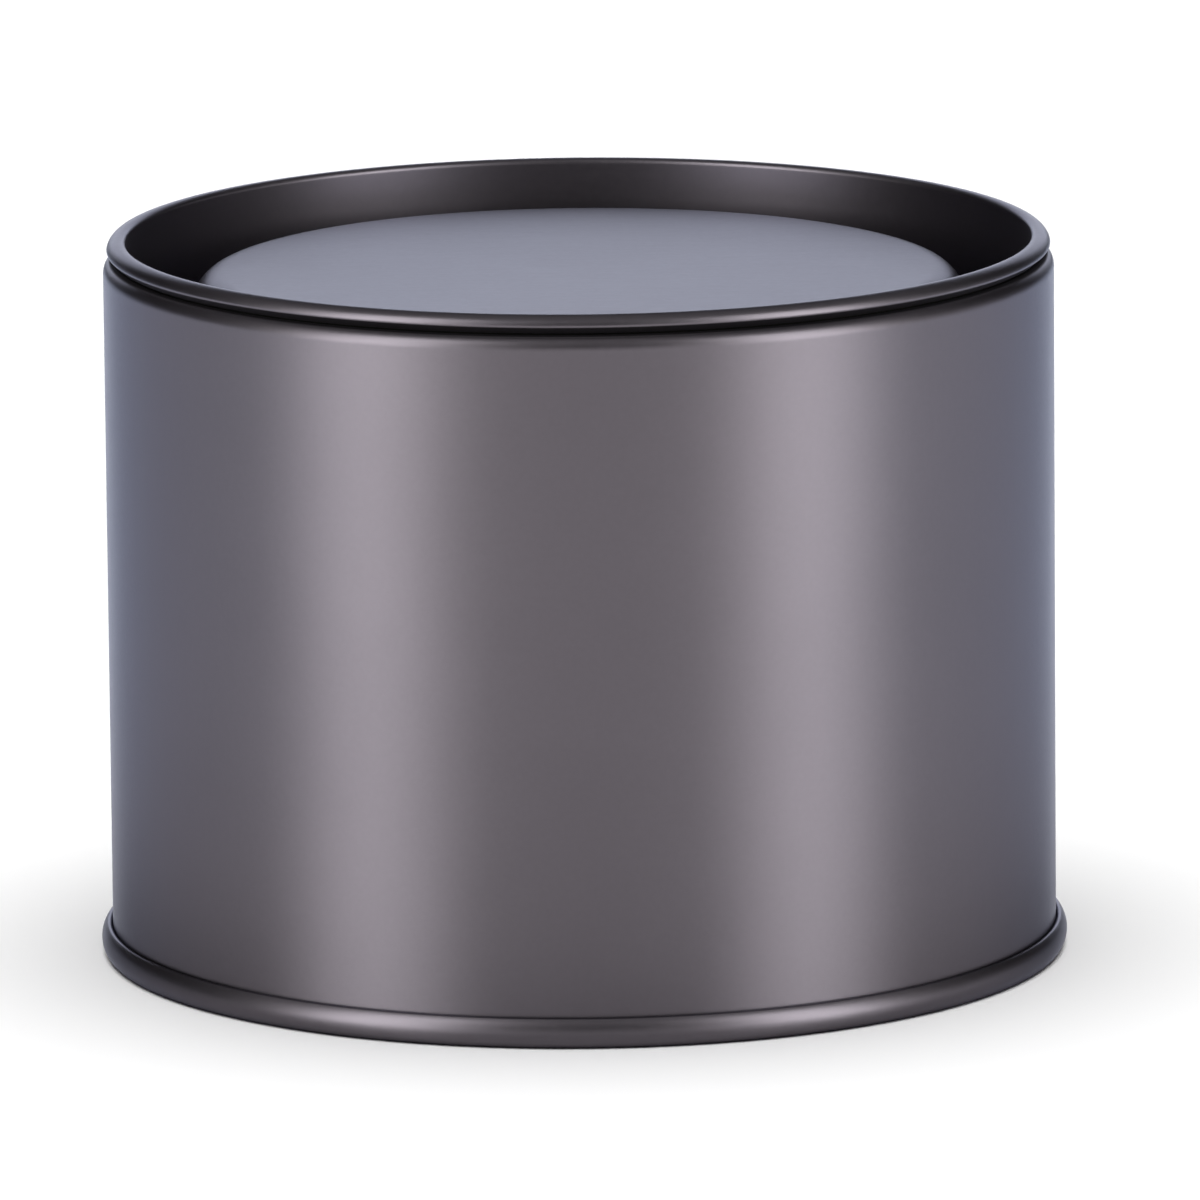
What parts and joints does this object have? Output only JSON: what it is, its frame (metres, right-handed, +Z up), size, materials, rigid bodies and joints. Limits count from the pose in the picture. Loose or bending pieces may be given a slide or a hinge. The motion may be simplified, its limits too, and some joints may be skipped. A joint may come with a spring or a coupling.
{
  "type": "round tin",
  "caption": "Round drawn-and-rolled metal tin: double-seamed base, lock-seamed body with a rolled mouth, and a press-in lid with a raised panel inside a deep moat.",
  "frame": {"origin": "on the tin's axis, in the plane that the base seam rests on", "axes": "+Z up along the tin's axis; +Y towards the back, where the side seam of the body runs"},
  "size_m": [0.0778, 0.0778, 0.058],
  "materials": {
    "body_steel": "satin gunmetal lacquer over tinplate",
    "base_steel": "satin gunmetal lacquer over tinplate",
    "lid_steel": "satin gunmetal lacquer over tinplate",
    "compound": "matt sealing compound"
  },
  "bodies": {
    "tin": {"body_shell": "body_steel", "base_end": "base_steel", "seam_compound": "compound"},
    "lid": {"lid": "lid_steel"}
  },
  "joints": [
    {"name": "lid_lift", "type": "slide", "parent": "tin", "child": "lid", "axis": [0, 0, 1], "range_m": [0, 0.06]}
  ]
}
